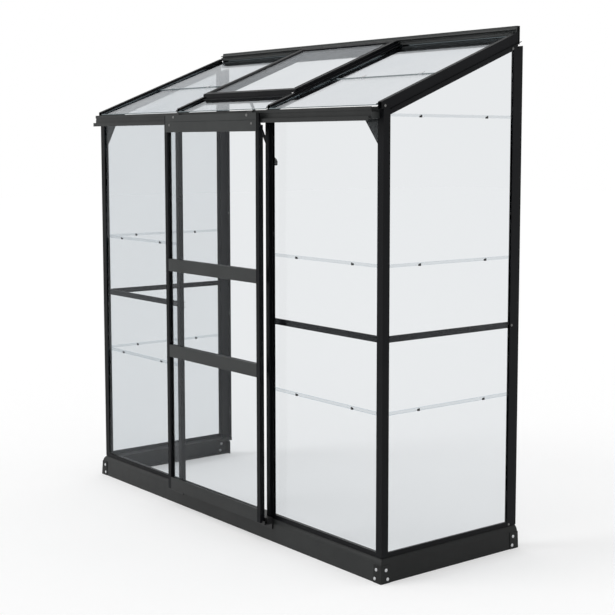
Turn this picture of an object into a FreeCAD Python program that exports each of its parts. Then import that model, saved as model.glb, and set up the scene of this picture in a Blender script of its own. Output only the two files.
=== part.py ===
import FreeCAD, Part
import math
import os
import re
import Sketcher

# Lean-to greenhouse that stands against a house wall: plinth, aluminium frame,
# lapped glass, a sliding door in the middle bay and a hinged roof vent above it.
#
# Axes: +X to the right seen from the front, +Y into the wall, +Z up. While a
# piece is drawn, x = 0 is the middle of the house and y = 0 is the outer foot
# of the front plinth. Every piece is then shifted by the same amount, so that
# the origin is the middle of the whole outline on the ground.

doc = FreeCAD.newDocument("lean_to_greenhouse")
sheet = doc.addObject("Spreadsheet::Sheet", "sizes")

SIZES = {
    # whole house
    "overall_length": 1930,
    "overall_depth": 675,
    "eave_height": 1614,
    "ridge_height": 1912,
    "ridge_crown": 14.2,
    "roof_rise": 12.5,
    "bay_pitch": 620,
    "frame_inset": 15,
    "seat_gap": 0.3,
    "overrun": 5,
    # plinth
    "sill_height": 84.5,
    "sill_width": 62,
    "sill_wall": 2.5,
    "sill_lean": 3,
    "sill_break": 62,
    "sill_setback": 19,
    "sill_nose": 27,
    "sill_lip": 14,
    "sill_foot": 30,
    "bracket_sheet": 2,
    "bracket_leg": 42,
    # posts and glazing channels
    "post_tube": 20,
    "post_wall": 2,
    "channel_depth": 10,
    "channel_gap": 7.6,
    "door_post_inset": 6,
    "wall_post_depth": 36,
    "wall_flange": 22,
    "wall_hole_radius": 3.5,
    "wall_hole_pitch": 480,
    "wall_hole_count": 4,
    "wall_hole_start": 120,
    # glass
    "glass": 3,
    "glass_play": 0.3,
    "edge_play": 0.5,
    "lap_gap": 0.5,
    "lap": 10,
    "lap_first": 576,
    "lap_drop": 33,
    "roof_glass_start": 8,
    "roof_lap": 292,
    # rails and gussets
    "rail_height": 22,
    "rail_depth": 7.6,
    "rail_level": 834,
    "rail_wall": 1.6,
    "gusset_leg": 86,
    "gusset_drop": 104,
    "gusset_tip": 6,
    "gusset_sheet": 2,
    # eave beam, gutter and track
    "beam_height": 40,
    "beam_depth": 22,
    "gutter_front": 20,
    "gutter_inset": 37.3,
    "gutter_lip": 2.5,
    "gutter_lip_height": 12,
    "cap_sheet": 2,
    "cap_height": 22,
    "track_reach": 34,
    "track_rib": 2.5,
    "track_rise": 8,
    "track_drop": 7,
    # rafters
    "rafter_start": 16.5,
    "rafter_width": 20,
    "rafter_depth": 30,
    "gable_start": 7,
    "gable_tube": 24,
    "gable_depth": 53,
    "drip_level": 35,
    "drip_reach": 5,
    "drip_sheet": 1.5,
    "drip_end": 11,
    "roof_slot": 8,
    # ridge
    "ridge_face": 66,
    "ridge_depth": 25,
    "ridge_top": 15,
    "ridge_cover": 2,
    "ridge_wall": 2.5,
    "ridge_curve": 45,
    "ridge_inset": 31,
    "ridge_slot_depth": 8,
    # sliding door
    "door_width": 649,
    "door_depth": 20,
    "door_stile": 20,
    "door_front": 42.5,
    "door_foot": 75,
    "door_slot": 3.6,
    "door_slot_depth": 8,
    "door_wall": 2,
    "door_rail": 50,
    "door_rail_high": 1003,
    "door_rail_low": 651.5,
    "door_kick": 50,
    "head_width": 625,
    "head_height": 68,
    "head_rise": 31,
    "head_groove": 1,
    "head_groove_drop": 26,
    "head_sheet": 2.5,
    "head_box": 23,
    "head_return": 5,
    "stile_top_gap": 14,
    "stile_ear": 7,
    # wheels and floor guides
    "wheel_spacing": 504,
    "wheel_radius": 14,
    "wheel_rim": 3,
    "wheel_width": 10,
    "wheel_groove_play": 0.35,
    "wheel_groove_flare": 1.8,
    "axle_radius": 3,
    "axle_collar": 2,
    "axle_play": 0.25,
    "axle_nut": 4,
    "running_gap": 0.05,
    "bolt_head": 3,
    "bolt_head_radius": 5.5,
    "guide_width": 60,
    "guide_sheet": 3,
    "guide_play": 0.5,
    "guide_groove": 10,
    "guide_drop": 3.5,
    "guide_low": 48,
    "guide_top": 92,
    "guide_apron": 4,
    "guide_clear": 2.5,
    # roof vent
    "vent_width": 616,
    "vent_start": 136,
    "vent_member": 16,
    "vent_side_width": 20,
    "vent_head_rail": 12,
    "vent_swing": 32,
    "vent_thick": 10.5,
    "vent_rest": 0.5,
    "vent_slot": 3.6,
    "vent_slot_depth": 7,
    "vent_lip": 5.5,
    "vent_lip_sheet": 2,
    "vent_lip_play": 2,
    "hinge_setback": 1.5,
    "neck_length": 9.5,
    "neck_sheet": 2,
    "mouth_play": 20,
    "bead_radius": 4,
    "socket_wall": 2.5,
    "strip_end": 130,
    "strip_cover": 8,
    "vent_bar_depth": 22,
    "vent_bar": 8,
    # vent stay
    "stay_length": 290,
    "stay_width": 16,
    "stay_sheet": 3,
    "stay_lean": 3.6,
    "stay_setback": 5,
    "stay_pin": 2,
    "stay_drop": 5.3,
    "stay_eye_wall": 2.5,
    "stay_hook_rise": 12,
    "stay_hook_reach": 8,
    "stay_hook_tip": 2,
    "stay_hole": 3,
    "stay_hole_start": 40,
    "stay_hole_pitch": 45,
    "stay_hole_count": 5,
    "ear_reach": 4,
    "ear_below": 2.5,
    "peg_radius": 2.5,
    "peg_length": 7,
}

for row, (alias, size) in enumerate(SIZES.items(), start=1):
    sheet.set(f"A{row}", alias)
    sheet.set(f"B{row}", str(size))
    sheet.setAlias(f"B{row}", alias)
doc.recompute()

NAMES = re.compile(r"\b(" + "|".join(sorted(SIZES, key=len, reverse=True)) + r")\b")


def bound(text):
    """An expression in plain size names, as the document writes it."""
    return NAMES.sub(r"sizes.\1", str(text))


def number(text):
    """The present value of such an expression."""
    result = sheet.evalExpression(bound(text))
    return float(getattr(result, "Value", result))


# Lines and levels that several pieces share

HALF = "(overall_length / 2)"
MIDDLE = "((overall_depth - door_front - head_sheet - bolt_head) / 2)"
FACE = f"({HALF} - frame_inset)"
WALL = "overall_depth"
SLOT = "(frame_inset + post_wall)"
SLOT_BACK = f"({SLOT} + channel_gap)"
FIN_BACK = f"({SLOT_BACK} + post_wall)"
BEAM_UNDER = "(eave_height - beam_height)"
BEAM_BACK = "(frame_inset + beam_depth)"
RAFTER_X = "(bay_pitch / 2)"
RIDGE_FRONT = "(overall_depth - ridge_depth)"
RAFTER_END = f"({RIDGE_FRONT} - seat_gap)"
RISE = "((ridge_height - ridge_crown - eave_height - roof_rise) / overall_depth)"
LEVEL = f"(1 / sqrt(1 + {RISE} * {RISE}))"
PITCH = f"atan({RISE})"
GUTTER_HALF = f"({HALF} - gutter_inset)"
RIDGE_HALF = f"({HALF} - ridge_inset)"
DOOR_BACK = "(door_depth - door_front)"
PANE_FRONT = "(-door_front + door_depth / 2 - glass / 2)"
TRACK_TOP = f"({BEAM_UNDER} + track_rise)"
TRACK_Y = "(track_rib / 2 - track_reach)"
AXLE_Z = f"({TRACK_TOP} + wheel_radius + running_gap)"
HINGE_Y = f"({RIDGE_FRONT} + hinge_setback)"


def roof(y, depth=0):
    """Height of the roof plane over y, less a depth measured square to it."""
    return f"(eave_height + roof_rise + {RISE} * ({y}) - ({depth}) / {LEVEL})"


def on_roof(y, depth):
    """A corner in side view, given by y and the depth below the roof plane."""
    return (y, roof(y, depth))


HINGE_Z = roof(HINGE_Y, "-(vent_rest + vent_thick / 2)")


# Drawing helpers

def body(label):
    """An empty body, shifted so that its drawing frame meets the part's frame."""
    item = doc.addObject("PartDesign::Body", label)
    item.Label = label
    item.setExpression("Placement.Base.y", bound(f"-{MIDDLE}"))
    return item


def sketch(owner, plane, offset, corners, arcs=None, holes=(), rise=None):
    """Closed outline on an origin plane, at an offset along the plane's axis.

    An arc runs from its corner to the next one; a positive radius bulges to
    the left of the way it is drawn, a negative one to the right.
    """
    item = owner.newObject("Sketcher::SketchObject", owner.Name + "_outline")
    wanted = [part for part in owner.Origin.OriginFeatures if part.Role == plane]
    item.AttachmentSupport = (wanted[0], [""])
    item.MapMode = "FlatFace"
    turn = -1 if plane == "XZ_Plane" else 1
    item.setExpression("AttachmentOffset.Base.z", bound(f"{turn} * ({offset})"))
    if rise is not None:
        item.setExpression("AttachmentOffset.Base.y", bound(rise))
    add_loop(item, corners, arcs or {})
    for hole in holes:
        add_loop(item, hole, {})
    return item


def add_loop(item, corners, arcs):
    """Lines and arcs through the corners, each corner bound to its expressions."""
    points = [FreeCAD.Vector(number(u), number(v), 0) for u, v in corners]
    first = item.GeometryCount
    heads = []
    for index, start in enumerate(points):
        end = points[(index + 1) % len(points)]
        if index in arcs:
            heads.append(add_arc(item, start, end, number(arcs[index])))
            name = f"radius{first + index}"
            place = item.addConstraint(Sketcher.Constraint(
                "Radius", first + index, abs(number(arcs[index]))))
            item.renameConstraint(place, name)
            item.setExpression(f"Constraints.{name}", bound(f"abs({arcs[index]})"))
        else:
            item.addGeometry(Part.LineSegment(start, end), False)
            heads.append(1)
    for index in range(len(points)):
        after = (index + 1) % len(points)
        item.addConstraint(Sketcher.Constraint(
            "Coincident", first + index, 3 - heads[index], first + after, heads[after]))
    for index, (u, v) in enumerate(corners):
        for kind, text in (("DistanceX", u), ("DistanceY", v)):
            name = f"{kind.lower()}{first + index}"
            place = item.addConstraint(Sketcher.Constraint(
                kind, -1, 1, first + index, heads[index], number(text)))
            item.renameConstraint(place, name)
            item.setExpression(f"Constraints.{name}", bound(text))


def add_arc(item, start, end, radius):
    """Adds the arc and returns which of its two ends lies at the start corner."""
    chord = end - start
    left = FreeCAD.Vector(-chord.y, chord.x, 0)
    left.normalize()
    reach = math.sqrt(radius * radius - chord.Length ** 2 / 4)
    side = -1 if radius > 0 else 1
    centre = (start + end) * 0.5 + left * reach * side
    circle = Part.Circle(centre, FreeCAD.Vector(0, 0, 1), abs(radius))
    begin, finish = (start, end) if side > 0 else (end, start)
    angles = [math.atan2(p.y - centre.y, p.x - centre.x) for p in (begin, finish)]
    if angles[1] < angles[0]:
        angles[1] += 2 * math.pi
    item.addGeometry(Part.ArcOfCircle(circle, *angles), False)
    return 1 if side > 0 else 2


def round_sketch(owner, plane, offset, centre, radius):
    """One circle on an origin plane."""
    item = owner.newObject("Sketcher::SketchObject", owner.Name + "_circle")
    wanted = [part for part in owner.Origin.OriginFeatures if part.Role == plane]
    item.AttachmentSupport = (wanted[0], [""])
    item.MapMode = "FlatFace"
    turn = -1 if plane == "XZ_Plane" else 1
    item.setExpression("AttachmentOffset.Base.z", bound(f"{turn} * ({offset})"))
    middle = FreeCAD.Vector(number(centre[0]), number(centre[1]), 0)
    item.addGeometry(Part.Circle(middle, FreeCAD.Vector(0, 0, 1), number(radius)), False)
    for kind, text in (("DistanceX", centre[0]), ("DistanceY", centre[1])):
        place = item.addConstraint(Sketcher.Constraint(kind, -1, 1, 0, 3, number(text)))
        item.renameConstraint(place, kind.lower())
        item.setExpression(f"Constraints.{kind.lower()}", bound(text))
    place = item.addConstraint(Sketcher.Constraint("Radius", 0, number(radius)))
    item.renameConstraint(place, "radius")
    item.setExpression("Constraints.radius", bound(radius))
    return item


def pad(owner, outline, length):
    """Pads towards +X, +Y or +Z, whichever is square to the outline."""
    item = owner.newObject("PartDesign::Pad", outline.Name + "_pad")
    item.Profile = outline
    item.setExpression("Length", bound(length))
    item.Reversed = outline.AttachmentSupport[0][0].Role == "XZ_Plane"
    owner.Tip = item
    return item


def slope_pad(owner, outline, run):
    """Pads up the roof slope, so that both ends stay upright; run is along y."""
    item = pad(owner, outline, f"({run})")
    item.UseCustomVector = True
    item.AlongSketchNormal = True
    item.setExpression("Direction.x", "0")
    item.setExpression("Direction.y", bound(LEVEL))
    item.setExpression("Direction.z", bound(f"{RISE} * {LEVEL}"))
    item.Reversed = False
    return item


def pocket(owner, outline, length):
    """Cuts by the length, half to each side of the outline's plane."""
    doc.recompute()
    before = owner.Shape.Volume
    item = owner.newObject("PartDesign::Pocket", outline.Name + "_cut")
    item.Profile = outline
    item.Midplane = True
    item.setExpression("Length", bound(length))
    owner.Tip = item
    doc.recompute()
    if owner.Shape.Volume >= before - 0.01:
        raise ValueError(f"{outline.Name} cuts nothing")
    return item


def bar_x(label, start, length, corners, arcs=None, holes=()):
    """A straight extrusion along X whose section is drawn in the YZ plane."""
    item = body(label)
    pad(item, sketch(item, "YZ_Plane", start, corners, arcs, holes), length)
    return item


def mirrored(source, label):
    """The left-hand twin of a right-hand piece."""
    item = doc.addObject("Part::Mirroring", label)
    item.Label = label
    item.Source = source
    item.Base = (0, 0, 0)
    item.Normal = (1, 0, 0)
    return item


def box_loop(u0, v0, u1, v1):
    """Corners of an upright rectangle."""
    return [(u0, v0), (u1, v0), (u1, v1), (u0, v1)]


NODES = []


def pair(source, left_label):
    """Keeps a right-hand piece and its left-hand twin."""
    NODES.append(source)
    NODES.append(mirrored(source, left_label))


# Plinth: one bull-nosed channel section, mitred at the two front corners

def sill_section(sign):
    """Corners and arcs of the plinth section; sign -1 draws it from the right."""
    def across(inward):
        return f"({inward})" if sign > 0 else f"({HALF} - ({inward}))"
    face = "bracket_sheet"
    corners = [
        (across(face), "0"),
        (across(f"{face} + sill_lean"), "sill_break"),
        (across("sill_setback"), "sill_height"),
        (across("sill_width"), "sill_height"),
        (across("sill_width"), "sill_height - sill_lip"),
        (across("sill_width - sill_wall"), "sill_height - sill_lip"),
        (across("sill_width - sill_wall"), "sill_height - sill_wall"),
        (across("sill_setback + sill_wall / 3"), "sill_height - sill_wall"),
        (across(f"{face} + sill_lean + sill_wall"), "sill_break"),
        (across(f"{face} + sill_wall"), "sill_wall"),
        (across("sill_foot"), "sill_wall"),
        (across("sill_foot"), "0"),
    ]
    arcs = {1: f"{sign} * sill_nose", 7: f"{-sign} * (sill_nose - sill_wall)"}
    return corners, arcs


def mitre(reach, keep_front):
    """Plan view triangle that is cut away beyond the 45 degree corner joint."""
    shift = "- seat_gap / 2" if keep_front else "+ seat_gap / 2"
    outer = (f"{HALF} + overrun {shift}", "-overrun")
    inner = (f"{HALF} - {reach} {shift}", reach)
    if keep_front:
        far = f"{HALF} + 2 * overrun"
        return [outer, (far, "-overrun"), (far, reach), inner]
    return [outer, inner, (f"{HALF} - {reach} {shift}", "-overrun")]


def flipped(corners):
    """The same outline on the other side of x = 0."""
    return [(f"-({u})", v) for u, v in reversed(corners)]


def front_sill():
    corners, arcs = sill_section(1)
    item = bar_x("sill_front", f"-{HALF}", "overall_length", corners, arcs)
    reach = "(sill_width + overrun)"
    for loop in (mitre(reach, True), flipped(mitre(reach, True))):
        pocket(item, sketch(item, "XY_Plane", "0", loop), "3 * sill_height")
    NODES.append(item)


def side_sill():
    corners, arcs = sill_section(-1)
    item = body("sill_right")
    outline = sketch(item, "XZ_Plane", "0", corners, arcs)
    pad(item, outline, f"{WALL} - bracket_sheet")
    loop = mitre("(sill_width + overrun)", False)
    pocket(item, sketch(item, "XY_Plane", "0", loop), "3 * sill_height")
    pair(item, "sill_left")


def front_bracket():
    """Corner plate that wraps both mitred plinth faces and leans with them."""
    item = body("corner_bracket_front_right")
    strip = [("0", "0"), ("sill_lean", "sill_break"),
             ("sill_lean + bracket_sheet", "sill_break"), ("bracket_sheet", "0")]
    pad(item, sketch(item, "YZ_Plane", f"{HALF} - bracket_leg", strip), "bracket_leg")
    side = [(f"{HALF} - ({u})", v) for u, v in strip]
    pad(item, sketch(item, "XZ_Plane", "0", side), "bracket_leg")
    high = "(sill_break + overrun)"
    out = f"(sill_lean * {high} / sill_break)"
    off = "(-sill_lean * overrun / sill_break)"
    wedge = [(f"{HALF} + overrun", "-overrun"), (f"{HALF} + overrun", high),
             (f"{HALF} - {out}", high), (f"{HALF} - {off}", "-overrun")]
    pocket(item, sketch(item, "XZ_Plane", "0", wedge), "3 * bracket_leg")
    wedge = [("-overrun", "-overrun"), (off, "-overrun"), (out, high), ("-overrun", high)]
    pocket(item, sketch(item, "YZ_Plane", HALF, wedge), "3 * bracket_leg")
    pair(item, "corner_bracket_front_left")


def rear_bracket():
    """Plate on the plinth's rear end, turned in against the house wall."""
    item = body("corner_bracket_rear_right")
    side = [(f"{HALF}", "0"), (f"{HALF} - sill_lean", "sill_break"),
            (f"{HALF} - sill_lean - bracket_sheet", "sill_break"),
            (f"{HALF} - bracket_sheet", "0")]
    pad(item, sketch(item, "XZ_Plane", f"{WALL} - bracket_leg", side), "bracket_leg")
    flange = [(f"{HALF} - bracket_sheet / 2", "0"),
              (f"{HALF} - sill_lean - bracket_sheet / 2", "sill_break"),
              (f"{HALF} - bracket_leg - sill_lean", "sill_break"),
              (f"{HALF} - bracket_leg - sill_lean", "0")]
    pad(item, sketch(item, "XZ_Plane", f"{WALL} - bracket_sheet", flange), "bracket_sheet")
    pair(item, "corner_bracket_rear_left")


# Posts: hollow tubes with glazing channels as wide as the lapped panes need

def corner_post():
    far = "(post_tube + channel_depth)"
    back = "(post_wall + channel_gap)"
    fin = f"({back} + post_wall)"
    wall = "post_wall"
    tube = "post_tube"
    plan = [("0", "0"), (far, "0"), (far, wall), (tube, wall), (tube, back), (far, back),
            (far, fin), (tube, fin), (tube, tube), (fin, tube), (fin, far), (back, far),
            (back, tube), (wall, tube), (wall, far), ("0", far)]
    hollow = box_loop(wall, wall, f"{tube} - {wall}", f"{tube} - {wall}")

    def place(loop):
        return [(f"{FACE} - ({u})", f"frame_inset + ({v})") for u, v in loop]
    item = body("corner_post_right")
    outline = sketch(item, "XY_Plane", "sill_height", place(plan), holes=[place(hollow)])
    front = "(frame_inset - overrun)"
    end = f"(frame_inset + {far} + overrun)"
    cover = "gable_tube + seat_gap"
    pad(item, outline, f"{roof(end, cover)} - sill_height")
    top = [on_roof(front, cover), on_roof(end, cover), (end, roof(end)), (front, roof(end))]
    pocket(item, sketch(item, "YZ_Plane", FACE, top), f"3 * {far}")
    inner = box_loop(f"{FACE} - {far} - overrun", BEAM_UNDER, f"{FACE} - {tube}", roof(end))
    pocket(item, sketch(item, "XZ_Plane", "frame_inset", inner), f"4 * {far}")
    pair(item, "corner_post_left")


def door_post():
    """Tube at the door opening; its channel faces the glazed bay."""
    inner = f"({RAFTER_X} - post_tube / 2)"
    outer = f"({RAFTER_X} + post_tube / 2)"
    far = f"({outer} + channel_depth)"
    item = body("door_post_right")
    plan = [(inner, "door_post_inset"), (outer, "door_post_inset"), (outer, "frame_inset"),
            (far, "frame_inset"), (far, SLOT), (outer, SLOT), (outer, SLOT_BACK),
            (far, SLOT_BACK), (far, FIN_BACK), (inner, FIN_BACK)]
    hollow = box_loop(f"{inner} + post_wall", "door_post_inset + post_wall",
                      f"{outer} - post_wall", f"{FIN_BACK} - post_wall")
    outline = sketch(item, "XY_Plane", "sill_height", plan, holes=[hollow])
    pad(item, outline, f"{BEAM_UNDER} - sill_height")
    pair(item, "door_post_left")


def wall_post():
    """Deep tube on the house wall with a channel forwards and a screw flange inwards."""
    item = body("wall_post_right")
    inner = f"({FACE} - post_tube)"
    front = f"({WALL} - wall_post_depth)"
    tip = f"({front} - channel_depth)"
    skin = f"({FACE} - post_wall)"
    slot = f"({skin} - channel_gap)"
    fin = f"({slot} - post_wall)"
    flange = f"({inner} - wall_flange)"
    plan = [(FACE, WALL), (FACE, tip), (skin, tip), (skin, front), (slot, front), (slot, tip),
            (fin, tip), (fin, front), (inner, front), (inner, f"{WALL} - ridge_wall"),
            (flange, f"{WALL} - ridge_wall"), (flange, WALL)]
    hollow = box_loop(f"{inner} + post_wall", f"{front} + post_wall",
                      skin, f"{WALL} - post_wall")
    outline = sketch(item, "XY_Plane", "sill_height", plan, holes=[hollow])
    pad(item, outline, f"{roof(WALL, 'gable_depth')} - sill_height + seat_gap")
    low = f"{tip} - overrun"
    high = f"{WALL} + overrun"
    top = [on_roof(low, "gable_depth"), on_roof(high, "gable_depth"), (high, roof(high)),
           (low, roof(high))]
    pocket(item, sketch(item, "YZ_Plane", inner, top), "4 * post_tube + 2 * wall_flange")
    hole = round_sketch(item, "XZ_Plane", WALL,
                        (f"{inner} - wall_flange / 2", "sill_height + wall_hole_start"),
                        "wall_hole_radius")
    drilled = pocket(item, hole, "4 * ridge_wall")
    rows = item.newObject("PartDesign::LinearPattern", "wall_holes")
    rows.Originals = [drilled]
    rows.Direction = (hole, ["V_Axis"])
    rows.setExpression("Length", bound("wall_hole_pitch * (wall_hole_count - 1)"))
    rows.setExpression("Occurrences", bound("wall_hole_count"))
    item.Tip = rows
    pair(item, "wall_post_left")


# Eave beam with the gutter trough and the door track in one extrusion

def eave_gutter():
    front = "(-gutter_front)"
    skin = "post_wall"
    base = f"({BEAM_UNDER} + {skin})"
    rib = "(track_rib - track_reach)"
    lip = "(-gutter_front - gutter_lip)"
    lip_low = "(eave_height - gutter_lip_height)"
    track_low = f"({BEAM_UNDER} - track_drop)"
    corners = [
        ("-track_reach", track_low), (rib, track_low), (rib, BEAM_UNDER), (SLOT, BEAM_UNDER),
        (SLOT, f"{BEAM_UNDER} + channel_depth - {skin}"),
        (SLOT_BACK, f"{BEAM_UNDER} + channel_depth - {skin}"), (SLOT_BACK, BEAM_UNDER),
        (BEAM_BACK, BEAM_UNDER), (BEAM_BACK, "eave_height"), ("frame_inset", "eave_height"),
        ("frame_inset", base), (f"{front} + {skin}", base), (f"{front} + {skin}", "eave_height"),
        (lip, "eave_height"), (lip, lip_low), (front, lip_low), (front, base), (rib, base),
        (rib, TRACK_TOP), ("-track_reach", TRACK_TOP)]
    hollow = box_loop(f"frame_inset + {skin}", f"{BEAM_UNDER} + channel_depth",
                      f"{BEAM_BACK} - {skin}", f"eave_height - {skin}")
    item = bar_x("eave_gutter", f"-{GUTTER_HALF}", f"2 * {GUTTER_HALF}", corners, holes=[hollow])
    NODES.append(item)
    cap = body("gutter_end_cap_right")
    plate = box_loop(front, BEAM_UNDER, "frame_inset", f"{BEAM_UNDER} + cap_height")
    pad(cap, sketch(cap, "YZ_Plane", GUTTER_HALF, plate), "cap_sheet")
    pair(cap, "gutter_end_cap_left")


def gusset():
    item = body("gusset_right")
    side = f"({FACE} - post_tube - seat_gap)"
    top = f"({BEAM_UNDER} - seat_gap)"
    end = f"({side} - gusset_leg)"
    foot = f"({top} - gusset_drop)"
    plate = [(side, top), (end, top), (end, f"{top} - gusset_tip"),
             (f"{side} - gusset_tip", foot), (side, foot)]
    pad(item, sketch(item, "XZ_Plane", f"{FIN_BACK} + seat_gap", plate), "gusset_sheet")
    pair(item, "gusset_left")


def rail_section(back, away):
    """C section, open to the inside of the house; away is its inward direction."""
    low = "(rail_level - rail_height / 2)"
    high = "(rail_level + rail_height / 2)"
    deep = f"({back} {away} rail_depth)"
    skin = f"({back} {away} rail_wall)"
    return [(back, low), (deep, low), (deep, f"{low} + rail_wall"), (skin, f"{low} + rail_wall"),
            (skin, f"{high} - rail_wall"), (deep, f"{high} - rail_wall"), (deep, high),
            (back, high)]


def mid_rails():
    start = f"({RAFTER_X} - post_tube / 2 + post_wall)"
    item = bar_x("rail_front_right", start, f"{FACE} - post_tube - seat_gap - {start}",
                 rail_section(f"({FIN_BACK} + seat_gap)", "+"))
    pair(item, "rail_front_left")
    side = body("rail_side_right")
    back = f"({HALF} - {FIN_BACK} - seat_gap)"
    begin = "(frame_inset + post_tube + seat_gap)"
    outline = sketch(side, "XZ_Plane", begin, rail_section(back, "-"))
    pad(side, outline, f"{WALL} - wall_post_depth - seat_gap - {begin}")
    pair(side, "rail_side_left")


# Roof: rafters are drawn upright at their lower end and run up the slope

def hang(loop, start):
    """Section corners given as (x, depth square to the roof) at one y."""
    return [(u, roof(start, depth)) for u, depth in loop]


def rafter():
    item = body("rafter_right")
    low = "(roof_slot + channel_gap)"
    flank = "(rafter_width / 2)"
    tip = f"({flank} + channel_depth)"
    right = [(flank, "0"), (flank, "roof_slot - post_wall"), (tip, "roof_slot - post_wall"),
             (tip, "roof_slot"), (flank, "roof_slot"), (flank, low), (tip, low),
             (tip, f"{low} + post_wall"), (flank, f"{low} + post_wall"), (flank, "rafter_depth")]
    loop = right + [(f"-{u}", depth) for u, depth in reversed(right)]
    place = [(f"{RAFTER_X} + {u}", depth) for u, depth in loop]
    hollow = box_loop(f"{RAFTER_X} - {flank} + post_wall", "post_wall",
                      f"{RAFTER_X} + {flank} - post_wall", "rafter_depth - post_wall")
    outline = sketch(item, "XZ_Plane", "rafter_start", hang(place, "rafter_start"),
                     holes=[hang(hollow, "rafter_start")])
    slope_pad(item, outline, f"{RAFTER_END} - rafter_start")
    foot = box_loop("rafter_start - overrun", "eave_height - beam_height",
                    f"{BEAM_BACK} + seat_gap", "eave_height + seat_gap")
    pocket(item, sketch(item, "YZ_Plane", RAFTER_X, foot), "3 * rafter_width")
    pair(item, "rafter_left")


def gable_rafter():
    """Edge rafter; the skirts behind the corner post hold the top of the side glass."""
    item = body("rafter_gable_right")
    low = "(roof_slot + channel_gap)"
    skin = "post_wall"
    slot = f"({skin} + channel_gap)"
    fin = f"({slot} + {skin})"
    tip = "(post_tube + channel_depth)"
    loop = [("0", "0"), ("post_tube", "0"), ("post_tube", f"roof_slot - {skin}"),
            (tip, f"roof_slot - {skin}"), (tip, "roof_slot"), ("post_tube", "roof_slot"),
            ("post_tube", low), (tip, low), (tip, f"{low} + {skin}"),
            ("post_tube", f"{low} + {skin}"), ("post_tube", "gable_tube"), ("0", "gable_tube")]
    hollow = box_loop(skin, skin, f"post_tube - {skin}", f"gable_tube - {skin}")
    behind = f"(frame_inset + {tip} + seat_gap)"

    def place(shape, start):
        return hang([(f"{FACE} - ({u})", depth) for u, depth in shape], start)

    def run(shape, start, end, holes=()):
        outline = sketch(item, "XZ_Plane", start, place(shape, start), holes=holes)
        slope_pad(item, outline, f"{end} - {start}")
    run(loop, "gable_start", RAFTER_END, [place(hollow, "gable_start")])
    root = f"(gable_tube - {skin} / 2)"
    for near, far in (("0", skin), (slot, fin)):
        run(box_loop(near, root, far, "gable_depth"), behind, RAFTER_END)
    drip = box_loop("-drip_reach", "drip_level", f"{skin} / 2", "drip_level + drip_sheet")
    run(drip, behind, f"({WALL} - drip_end)")
    foot = box_loop("gable_start - overrun", BEAM_UNDER, f"{BEAM_BACK} + seat_gap",
                    "eave_height + seat_gap")
    pocket(item, sketch(item, "YZ_Plane", f"{FACE} - {tip}", foot), "2 * channel_depth")
    pair(item, "rafter_gable_left")


def ridge_bar():
    """Wall beam: concave cover, socket for the vent's bead and slot for the glass."""
    front = RIDGE_FRONT
    floor = "(ridge_height - ridge_face)"
    back = f"({WALL} - ridge_wall)"
    low = "(roof_slot + channel_gap)"
    deep = f"({front} + ridge_slot_depth)"
    web = f"({deep} + ridge_wall)"
    corners = [
        (WALL, floor), (WALL, "ridge_height"), (f"{WALL} - ridge_top", "ridge_height"),
        on_roof(front, "-ridge_cover"), on_roof(front, "roof_slot"), on_roof(deep, "roof_slot"),
        on_roof(deep, low), on_roof(front, low), (front, floor)]
    hollow = [
        (f"{front} + ridge_wall", f"{floor} + ridge_wall"), (back, f"{floor} + ridge_wall"),
        (back, "ridge_height - ridge_wall"),
        (f"{WALL} - ridge_top + ridge_wall", "ridge_height - ridge_wall"),
        on_roof(web, "0"), on_roof(web, f"{low} + ridge_wall"),
        on_roof(f"{front} + ridge_wall", f"{low} + ridge_wall")]
    length = f"2 * {RIDGE_HALF}"
    item = bar_x("ridge_bar", f"-{RIDGE_HALF}", length, corners, {2: "ridge_curve"}, [hollow])
    centre = (HINGE_Y, HINGE_Z)
    bore = "(bead_radius + running_gap)"
    ring = round_sketch(item, "YZ_Plane", f"-{RIDGE_HALF}", centre, f"{bore} + socket_wall")
    pad(item, ring, length)
    pocket(item, round_sketch(item, "YZ_Plane", "0", centre, bore), f"{length} + 2 * overrun")
    reach = f"({bore} + socket_wall + overrun)"
    half = "((vent_swing / 2 + mouth_play) * 1deg)"
    middle = f"(180deg + {PITCH} - vent_swing / 2 * 1deg)"

    def lip(distance, angle):
        return (f"{HINGE_Y} + {distance} * cos({angle})", f"{HINGE_Z} + {distance} * sin({angle})")
    mouth = [centre, lip(reach, f"{middle} - {half}"), lip(f"{reach} / cos{half}", middle),
             lip(reach, f"{middle} + {half}")]
    pocket(item, sketch(item, "YZ_Plane", "0", mouth), f"{length} + 2 * overrun")
    NODES.append(item)


# Glass: each pane's foot lies outside the head of the pane below

def leaning_pane(item, plane, at, width, low, high, outer, inward):
    """A pane that leans in by its own thickness and the lap gap, foot outside."""
    lean = f"({inward} * (glass + lap_gap))"
    thick = f"({inward} * glass)"
    corners = [(outer, low), (f"{outer} + {lean}", high),
               (f"{outer} + {lean} + {thick}", high), (f"{outer} + {thick}", low)]
    pad(item, sketch(item, plane, at, corners), width)


def lapped(label, left_label, panes):
    """Keeps several separate panes of one bay as one node."""
    item = doc.addObject("Part::Compound", label)
    item.Label = label
    item.Links = panes
    pair(item, left_label)


def lap_line(row):
    return f"(lap_first + {row} * (eave_height - lap_drop - lap_first) / 2)"


def front_glass():
    start = f"({RAFTER_X} + post_tube / 2 + edge_play)"
    width = f"{FACE} - post_tube - edge_play - {start}"
    feet = ["sill_height + glass_play", lap_line(0), lap_line(1)]
    heads = [f"{lap_line(0)} + lap", f"{lap_line(1)} + lap",
             f"{BEAM_UNDER} + channel_depth - post_wall - edge_play"]
    panes = []
    for row, (low, high) in enumerate(zip(feet, heads), start=1):
        item = body(f"front_pane_{row}")
        leaning_pane(item, "YZ_Plane", start, width, low, high, f"{SLOT} + glass_play", 1)
        panes.append(item)
    lapped("glass_front_right", "glass_front_left", panes)


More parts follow.
